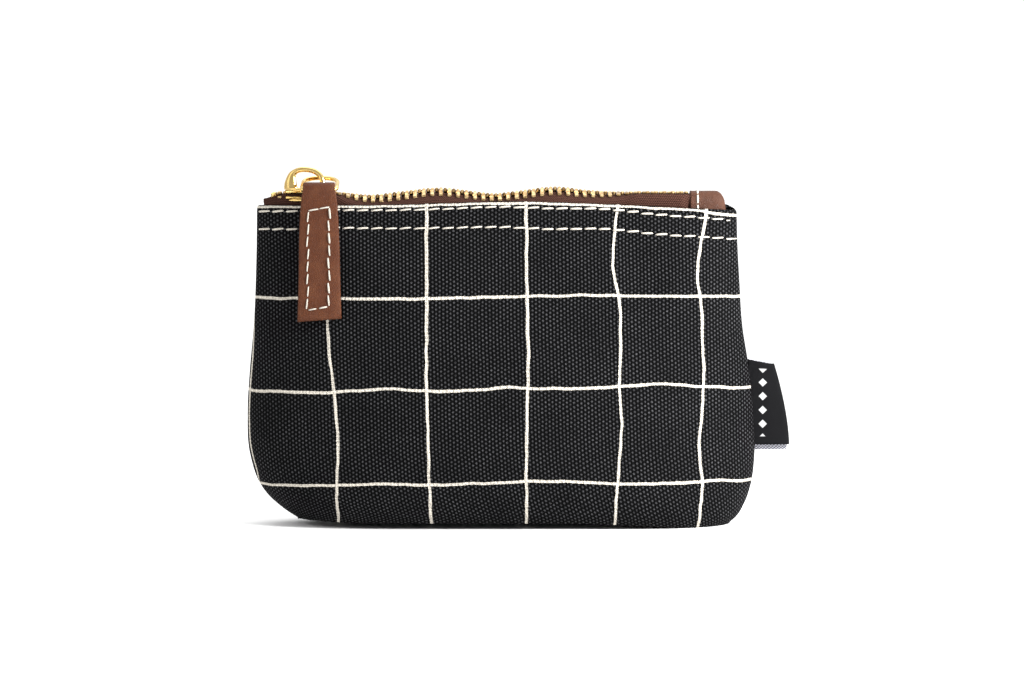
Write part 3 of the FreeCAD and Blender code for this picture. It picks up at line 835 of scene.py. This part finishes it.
def hem_room(x):
    """The half width that the folded hems leave at the mouth."""
    left, right = LEFT_EDGE[-1][1], RIGHT_EDGE[-1][1]
    across = np.clip((2 * x - (right - left)) / (left + right), -1, 1)
    reach = np.maximum(1 - np.abs(across) ** SQUARENESS[-1][1], 0) ** (1 / SIDE_ROUNDNESS)
    return np.maximum((DEPTH[-1][1] - 2 * FOLD_RADIUS - 0.2) * reach, 1.5)


def flat_share(x):
    """1 where the slider rests or stops, so that the tape lies flat in its slots."""
    return np.maximum(1 - smooth((np.abs(x - SLIDER_X) - 8) / 6), 1 - smooth((np.abs(x - OPEN_STOP) - 9) / 5))


def make_tape(side):
    """Bead edge, flat beside the teeth, then sloping to the fold and down behind the hem."""
    name = FACE[side] + "_tape"
    xs = np.linspace(*TAPE_ENDS, 380)
    flat = flat_share(xs)
    rise = chain_rise(xs)
    roll = chain_roll(xs)
    # Each station is (distance from the middle, drop, share of the zip's rise and fall).
    stations = [
        (TAPE_EDGE, 0 * xs, 1.0),
        (2.6, 0 * xs, 1.0),
        (3.5, -0.15 + 0 * xs, 1.0),
        (4.2, -0.7 * (1 - flat), 0.85),
        (4.9, -1.7 * (1 - flat) - 0.1, 0.6),
        (5.35, -2.7 * (1 - flat) - 1.2 * flat, 0.35),
        (5.55, -3.6 + 0 * xs, 0.1),
        (5.65, -5.0 + 0 * xs, 0.0),
        (6.1, -8.0 + 0 * xs, 0.0),
    ]
    inside = hem_room(xs) - 0.9 * smooth((xs - 53.5) / 2.5)
    left_curl = smooth((-xs - 66.5) / 5)
    rows = []
    for y, drop, follow in stations:
        z = CHAIN_HEIGHT + drop + follow * rise - left_curl * (0.6 + 1.6 * (y < 4))
        z = z - roll * min(y, 4.0) * follow
        rows.append(np.stack([xs, side * np.minimum(y, inside), z], axis=-1))
    cloth = Cloth(np.array(rows), 0)
    made = cloth_object(name + "_twill", cloth, TAPE)
    thicken(made, TAPE_THICKNESS)
    place(made, name, side < 0, "tape")
    bead_height = CHAIN_HEIGHT + rise - roll * TAPE_EDGE - left_curl * 2.2
    path = np.stack([xs, side * TAPE_EDGE + 0 * xs, bead_height], axis=-1)
    points, faces = tube(path, BEAD_RADIUS)
    uv = {"cloth": points[:, [0, 2]]}
    bead = mesh_object(name + "_bead", points, faces, TAPE, uv)
    place(bead, name + "_cord", side < 0, "tape")


def tooth_shape(side):
    """Two legs round the tape's bead and a rounded head that reaches past the middle."""
    parts = Pieces()
    for z in (-0.7, 0.7):
        parts.add(*rounded_box([1.16, 2.3, 0.64], [0, side * 2.05, z], 0.14))
    parts.add(*rounded_box([1.24, 1.35, 2.04], [0, side * 0.72, 0], 0.22))
    parts.add(*rounded_box([0.86, 1.2, 1.5], [0, -side * 0.25, 0], 0.26))
    return np.vstack(parts.points), parts.faces


def make_teeth(side):
    """A row of teeth along the wavy edge. Left of the slider's middle the two rows part."""
    name = FACE[side] + "_teeth"
    shape, faces = tooth_shape(side)
    pieces = Pieces()
    x = SLIDER_X + (0 if side < 0 else TOOTH_PITCH / 2) - 3 * TOOTH_PITCH
    while x < LAST_TOOTH:
        tilt = math.atan2(chain_rise(x + 1) - chain_rise(x - 1), 2)
        c, s = math.cos(tilt), math.sin(tilt)
        turned = shape @ np.array([[c, 0, s], [0, 1, 0], [-s, 0, c]])
        parted = 1.0 * (1 - smooth((x - SLIDER_X + 5.5) / 4.5)) if x < SLIDER_X else 0.0
        turned = turned - np.outer(side * turned[:, 1] * chain_roll(x), [0, 0, 1])
        centre = np.array([x, side * parted, CHAIN_HEIGHT + chain_rise(x)])
        pieces.add(turned + centre, faces, centre)
        x += TOOTH_PITCH
    made, anchors = pieces.build(name + "_row", TEETH, False)
    place(made, name, side < 0, "brass", anchors)


def make_block(name, node, shift, edge, front=False):
    """A rounded block as large as the CAD node, moved by shift."""
    low, high = (np.array(v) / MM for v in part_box(node))
    pieces = Pieces()
    pieces.add(*rounded_box(high - low, (low + high) / 2 + shift, edge))
    made, anchors = pieces.build(name, BRASS)
    place(made, node, front, "brass", anchors)


def make_stops():
    make_block("front_stop", "front_top_stop", [1.1, 0, -0.1], 0.4, True)
    make_block("back_stop", "back_top_stop", [1.1, 0, -0.1], 0.4)
    make_block("bottom_staple", "bottom_stop", [0, 0, -1.0], 0.3)


# ---------------- slider, ring and pull
PLATE = 1.0
PLATE_HALF_DEPTH = 4.75
PLATE_SQUARENESS = 3.2
# The plate's edge, from its underside up: (share of its size, height).
PLATE_EDGE = [(0.75, -0.5), (0.93, -0.45), (1.0, -0.25), (1.0, 0.2), (0.955, 0.42), (0.88, 0.5)]


def make_slider():
    """Two plates with their rims, and the post between them."""
    low, high = (np.array(v) / MM for v in SLIDER)
    pieces = Pieces()
    half = (high[0] - low[0]) / 2
    for z in (high[2] - PLATE / 2, low[2] + PLATE / 2):
        outline = []
        for turn in np.linspace(0, 2 * math.pi, 40, endpoint=False):
            c, s = math.cos(turn), math.sin(turn)
            reach = (abs(c) ** PLATE_SQUARENESS + abs(s) ** PLATE_SQUARENESS) ** (-1 / PLATE_SQUARENESS)
            narrow = 1 - 0.12 * (c * reach > 0.1) * min(1, (c * reach - 0.1) / 0.5)
            outline.append((half * c * reach, PLATE_HALF_DEPTH * s * reach * narrow))
        rows = []
        for share, rise in PLATE_EDGE:
            rows.append([(SLIDER_X + x * share, y * share, z + rise * PLATE) for x, y in outline])
        count = len(outline)
        faces = grid_faces(len(rows), count, closed=True)
        faces += [list(range(count))[::-1], list(range(count * (len(rows) - 1), count * len(rows)))]
        pieces.add(rows, faces)
    for side in (-1, 1):
        for x, y, rim in ((-2.6, 4.45, [6.4, 0.6, 0.7]), (3.4, 3.85, [4.2, 0.55, 0.7])):
            for z in (high[2] - 1.2 * PLATE, low[2] + 1.2 * PLATE):
                pieces.add(*rounded_box(rim, [SLIDER_X + x, side * y, z], 0.12))
    pieces.add(*rounded_box([3.4, 1.3, 2.6], [SLIDER_X - 4.6, 0, CHAIN_HEIGHT], 0.3))
    made, _ = pieces.build("slider_plates", BRASS)
    place(made, "slider_body", slot="brass")


# The strap's middle line, from the left: (across, height).
ARCH_PATH = [
    (-63.6, 101.0), (-63.6, 103.2), (-63.0, 105.5), (-61.3, 106.7), (-58.8, 106.9), (-56.1, 106.2),
    (-54.3, 104.3), (-53.8, 101.0),
]


def bail_widths(share):
    """Wide where it leaves the plate, waisted over the top."""
    return 2.4 + 1.0 * (np.abs(share - 0.5) * 2) ** 3


def make_arch():
    t = np.linspace(0, len(ARCH_PATH) - 1, 60)
    x = curve(t, [(k, p[0]) for k, p in enumerate(ARCH_PATH)])
    z = curve(t, [(k, p[1]) for k, p in enumerate(ARCH_PATH)])
    path = np.stack([x, 0 * x, z], axis=-1)
    share = t / t[-1]
    thickness = 1.55 + 2.4 * smooth((0.42 - share) / 0.4)
    points, faces = ribbon(path, [0, 1, 0], bail_widths(share), thickness, edge=0.6)
    made = mesh_object("slider_strap", points, faces, BRASS)
    place(made, "slider_arch", slot="brass")


RING_MIDDLE = -54.6
RING_HALF = 5.15
RING_REAR = np.array([RING_MIDDLE, 2.2, 104.35])
RING_BAR = np.array([RING_MIDDLE, -8.4, 101.2])
RING_REAR_BEND = 4.7
RING_BAR_BEND = 1.1
RING_WIRE = 0.66


def make_ring():
    """One round wire: well rounded behind the slider's strap, tighter at the bar in the leather."""
    across = np.array([1.0, 0, 0])
    along = RING_BAR - RING_REAR
    span = np.linalg.norm(along)
    along = along / span
    path = []
    for side, radius, start in (
        (1, RING_REAR_BEND, -90),
        (1, RING_BAR_BEND, 0),
        (-1, RING_BAR_BEND, 90),
        (-1, RING_REAR_BEND, 180),
    ):
        cx = side * (RING_HALF - radius)
        cy = radius if radius == RING_REAR_BEND else span - radius
        for turn in np.radians(np.linspace(start, start + 90, 9)):
            x, y = cx + radius * math.cos(turn), cy + radius * math.sin(turn)
            path.append(RING_REAR + across * x + along * y)
    points, faces = tube(np.array(path), RING_WIRE, 14, closed=True)
    made = mesh_object("ring_wire", points, faces, BRASS)
    place(made, "pull_ring", slot="brass")


PULL_LEAN = 0.152
LEATHER = 1.3
PULL_LENGTH = 39.2
# The leaves lie together below this distance, and the front one swells by up to PULL_SWELL.
PULL_TOP = 3.4
PULL_SWELL = 0.25
PULL_DOWN = unit(np.array([0, -PULL_LEAN, -1.0]))
PULL_OUT = unit(np.array([0, -1.0, PULL_LEAN]))


def pull_swell(s):
    return PULL_SWELL * math.sin(math.pi * max(0, s - PULL_TOP) / 36)


def pull_path():
    """Up the back leaf, over the bar and down the front leaf."""
    loop = RING_WIRE + LEATHER / 2 + 0.1
    flat = LEATHER / 2 + 0.02
    lengths = np.linspace(PULL_LENGTH, PULL_TOP, 30)
    back = [RING_BAR + PULL_DOWN * s - PULL_OUT * flat for s in lengths]
    neck = [(2.4, flat + 0.12), (1.4, loop * 0.83), (0.5, loop * 0.97)]
    up = [RING_BAR + PULL_DOWN * s - PULL_OUT * o for s, o in neck]
    turns = np.linspace(0.15, math.pi - 0.15, 12)
    over = [RING_BAR - PULL_OUT * loop * math.cos(t) - PULL_DOWN * loop * math.sin(t) for t in turns]
    down = [RING_BAR + PULL_DOWN * s + PULL_OUT * o for s, o in reversed(neck)]
    front = [RING_BAR + PULL_DOWN * s + PULL_OUT * (flat + pull_swell(s)) for s in lengths[::-1]]
    path = np.array(back + up + over + down + front)
    return path, len(back) + len(up)


def make_pull():
    path, turn_at = pull_path()
    below = np.maximum((path - RING_BAR) @ PULL_DOWN, 0)
    widths = curve(below, [(0, 9.5), (3, 10.5), (8, 11.3), (14, 11.8), (28, 12.4), (40, 13.1)])
    slant = 0.5 * smooth((below - 30) / 10)
    ahead_sign = np.where(np.arange(len(path)) < turn_at + 6, 1, -1)
    path = path + np.array([0.3, 0, 0]) * smooth(below / 40)[:, None]
    points, faces = ribbon(path, [1, 0, 0], widths, LEATHER, slant * ahead_sign, edge=0.35)
    made = mesh_object("pull_leather", points, faces, STRAP_LEATHER)
    place(made, "pull_strap", slot="leather")


def make_pull_stitching():
    """A stitched oblong on both faces, its lower end slanting with the strap's."""
    left, right, top, bottom = -3.2, 3.1, 6.7, 36.3
    corners = [(left, top), (right, top - 1.2), (right, bottom - 1.0), (left, bottom + 0.1)]
    pieces = Pieces()
    for face in (-1, 1):
        for k, (x0, s0) in enumerate(corners):
            x1, s1 = corners[(k + 1) % 4]
            length = math.hypot(x1 - x0, s1 - s0)
            count = max(2, round(length / 3.6))
            for i in range(count):
                shares = ((i + 0.08) / count, (i + 0.95) / count)
                drift = 0.17 * math.sin(2.4 * i + 1.7 * k)
                ends = []
                for share, sway in zip(shares, (drift - 0.16, drift + 0.16)):
                    s = s0 + (s1 - s0) * share
                    level = LEATHER + 0.05 + (pull_swell(s) if face > 0 else 0)
                    across = [x0 + (x1 - x0) * share + sway, 0, 0]
                    ends.append(RING_BAR + PULL_DOWN * s + PULL_OUT * face * level + across)
                radius = 0.22 + 0.05 * (k == 1) + 0.03 * math.sin(3.1 * i + k)
                pieces.add(*stitch(ends[0], ends[1], PULL_OUT * face, radius, 0.4))
    made, _ = pieces.build("pull_thread", THREAD)
    place(made, "pull_stitching", slot="thread")


# ---------------- zip end and label
TAB_ENDS = (56.4, 67.2)
TAB_BASE = 92.6
TAB_RISE = 8.0
TAB_ROUNDING = 3.4
TAB_THICKNESS = 1.2


def make_end_tab():
    """Leather folded over the end of the zip, rounding down to the right."""
    left, right = TAB_ENDS
    xs = np.linspace(left, right, 26)
    end = np.clip((xs - right + TAB_ROUNDING) / TAB_ROUNDING, 0, 1)
    half_depth = hem_room(xs) + 0.15
    crown = np.sqrt(np.maximum(1 - end**2.2, 0.0))
    rows = []
    for turn in np.linspace(-math.pi / 2, math.pi / 2, 33):
        s, c = math.sin(turn), math.cos(turn)
        reach = (abs(s) ** 3.4 + abs(c) ** 3.4) ** (-1 / 3.4)
        y = half_depth * s * reach * (0.8 + 0.2 * crown)
        z = TAB_BASE + (TAB_RISE * c * reach) * (0.3 + 0.7 * crown)
        rows.append(np.stack([xs, y + 0 * xs, z], axis=-1))
    points = np.array(rows)
    made = mesh_object("tab_leather", points, grid_faces(*points.shape[:2]), TAB_LEATHER)
    thicken(made, TAB_THICKNESS, -1)
    place(made, "end_tab", slot="leather")
    pieces = Pieces()
    x = left + 2.1
    column = np.argmin(np.abs(xs - x))
    path = points[:, column]
    lengths = np.concatenate([[0], np.cumsum(np.linalg.norm(np.diff(path, axis=0), axis=1))])
    for start in np.arange(1.2, lengths[-1] - 3.2, 3.1):
        ends = [np.array([np.interp(d, lengths, path[:, k]) for k in range(3)]) for d in (start, start + 2.6)]
        middle = (ends[0] + ends[1]) / 2
        out = unit(middle - np.array([x, 0, 96.0]))
        pieces.add(*stitch(ends[0] + out * 0.02, ends[1] + out * 0.02, out, 0.32, 0.4))
    thread, _ = pieces.build("tab_thread", THREAD)
    place(thread, "end_tab_stitch", slot="thread")


LABEL_BOTTOM = 24.0
LABEL_HEIGHT = 24.4
LABEL_ROOT = 74.0
LABEL_REACH = 86.6
LABEL_SLANT = 4.7
LABEL_FOLD = 0.7
RIBBON_THICKNESS = 0.32


def make_label():
    """A ribbon doubled back on itself, its fold slanting and its rear leaf a little lower."""
    rows = []
    for share in np.linspace(0, 1, 40):
        z = LABEL_BOTTOM + LABEL_HEIGHT * share
        fold = LABEL_REACH - LABEL_SLANT * share**1.6 - LABEL_FOLD
        tilt = 1.4 * share
        line = []
        for t in np.linspace(0, 1, 16):
            x = LABEL_ROOT + (fold - LABEL_ROOT) * t
            line.append((x, -0.75 - 0.5 * math.sin(math.pi * t), z + tilt * (1 - t)))
        for turn in np.radians(np.linspace(-80, 80, 7)):
            line.append((fold + LABEL_FOLD * math.cos(turn), 0.62 * math.sin(turn) + 0.05, z))
        for t in np.linspace(1, 0, 16):
            x = LABEL_ROOT + (fold - LABEL_ROOT) * t
            lower = z - 1.7 * (1 - share) + tilt * (1 - t)
            line.append((x, 0.75 + 0.35 * math.sin(math.pi * t), lower))
        rows.append(line)
    cloth = Cloth(np.array(rows), 0)
    cloth.across -= cloth.across[:, :1]
    made = cloth_object("label_ribbon", cloth, RIBBON)
    made.data.materials.append(RIBBON_BACK)
    thicken(made, RIBBON_THICKNESS).material_offset = 1
    place(made, "side_label", slot="ribbon")


# ---------------- stage
def make_stage():
    mesh = bpy.data.meshes.new("floor")
    mesh.from_pydata([(-4, -3, 0), (4, -3, 0), (4, 5, 0), (-4, 5, 0)], [], [(0, 1, 2, 3)])
    floor = add_object("floor", mesh)
    mesh.materials.append(Shader("paper", roughness=0.95, colour=(0.93, 0.93, 0.93)).material)
    world = bpy.data.worlds.new("studio")
    world.use_nodes = True
    nodes, links = world.node_tree.nodes, world.node_tree.links
    background = nodes["Background"]
    background.inputs[0].default_value = (1, 1, 1, 1)
    where = nodes.new("ShaderNodeTexCoord")
    split = nodes.new("ShaderNodeSeparateXYZ")
    # The light from the front, at -Y, is dimmer than the light from behind.
    ramp = nodes.new("ShaderNodeMapRange")
    for socket, value in zip(list(ramp.inputs)[1:5], (-0.8, 0.3, 0.6, 1.08)):
        socket.default_value = value
    links.new(where.outputs["Generated"], split.inputs[0])
    links.new(split.outputs[1], ramp.inputs[0])
    links.new(ramp.outputs[0], background.inputs[1])
    bpy.context.scene.world = world


def area_light(name, place_at, aim, size, power):
    data = bpy.data.lights.new(name, "AREA")
    data.shape = "RECTANGLE"
    data.size, data.size_y = size
    data.energy = power
    made = add_object(name, data)
    made.location = place_at
    made.rotation_euler = (Vector(aim) - Vector(place_at)).to_track_quat("-Z", "Y").to_euler()


def sun_light(strength):
    """A very wide overhead light, so that the whole sweep is white."""
    data = bpy.data.lights.new("sky_panel", "SUN")
    data.energy = strength
    data.angle = math.radians(70)
    made = add_object("sky_panel", data)
    made.rotation_euler = (math.radians(-18), math.radians(14), 0)


VIEW_DISTANCE = 960.0
VIEW_WIDTH = 309.0
VIEW_AIM = (2.9, 0, 55.1)
VIEW_ELEVATION = 4.0


def make_camera():
    """A long lens a little above the table, looking straight at the front."""
    elevation = math.radians(VIEW_ELEVATION)
    aim = Vector(VIEW_AIM) * MM
    data = bpy.data.cameras.new("camera")
    data.sensor_width = 36
    data.lens = data.sensor_width * VIEW_DISTANCE / VIEW_WIDTH
    made = add_object("camera", data)
    made.location = aim + VIEW_DISTANCE * MM * Vector((0, -math.cos(elevation), math.sin(elevation)))
    made.rotation_euler = (aim - made.location).to_track_quat("-Z", "Y").to_euler()
    bpy.context.scene.camera = made


canvas = {side: make_panel(side) for side in FACE}
for side in FACE:
    make_lining(side)
    make_tape(side)
    make_teeth(side)
    for row in TOPSTITCH_ROWS:
        make_topstitch(canvas[side], side, row)
make_seam_threads()
make_stops()
make_slider()
make_arch()
make_ring()
make_pull()
make_pull_stitching()
make_end_tab()
make_label()
make_stage()
area_light("key", (0.25, -0.16, 0.20), (0.05, 0, 0.05), (0.10, 0.10), 2.2)
area_light("fill", (-0.5, -0.6, 0.5), (0, 0, 0.05), (0.4, 0.4), 0.6)
sun_light(1.7)
make_camera()
bpy.context.scene.view_settings.view_transform = "Standard"
